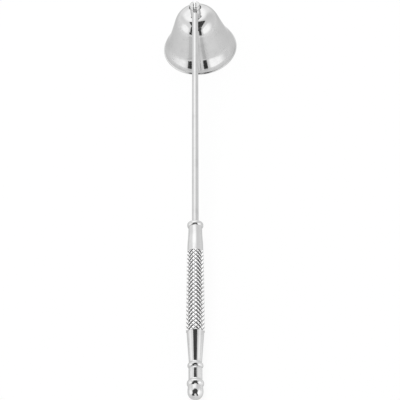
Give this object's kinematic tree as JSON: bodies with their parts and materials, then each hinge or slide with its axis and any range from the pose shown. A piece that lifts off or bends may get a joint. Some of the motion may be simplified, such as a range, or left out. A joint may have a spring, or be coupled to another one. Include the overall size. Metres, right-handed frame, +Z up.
{
  "type": "candle snuffer",
  "caption": "Candle snuffer: a flared bell swings freely in a clevis at the tip of a long thin rod with a diamond-knurled, turned handle and ball end.",
  "frame": {"origin": "on the table under the middle of the whole length, in the plane that halves the snuffer", "axes": "+Z up, +Y from the handle's end towards the bell, +X along the pivot rivet"},
  "size_m": [0.038, 0.2226, 0.0314],
  "materials": {
    "bell_chrome": "polished, faintly spun",
    "rod_chrome": "polished",
    "handle_chrome": "bright polished",
    "hardware_steel": "satin"
  },
  "bodies": {
    "handle": {"rod": "rod_chrome", "ferrule": "handle_chrome", "grip": "handle_chrome", "grip_ring": "handle_chrome", "waist_sleeve": "handle_chrome", "end_bead": "handle_chrome", "end_knob": "handle_chrome"},
    "bell": {"bell": "bell_chrome", "bell_post": "bell_chrome", "bell_washer": "hardware_steel", "bell_nut": "hardware_steel", "pivot_rivet": "hardware_steel"}
  },
  "joints": [
    {"name": "bell_swing", "type": "hinge", "parent": "handle", "child": "bell", "pos_m": [0, 0.09234, 0.0294], "axis": [1, 0, 0], "range_deg": [-12, 206.8]}
  ]
}
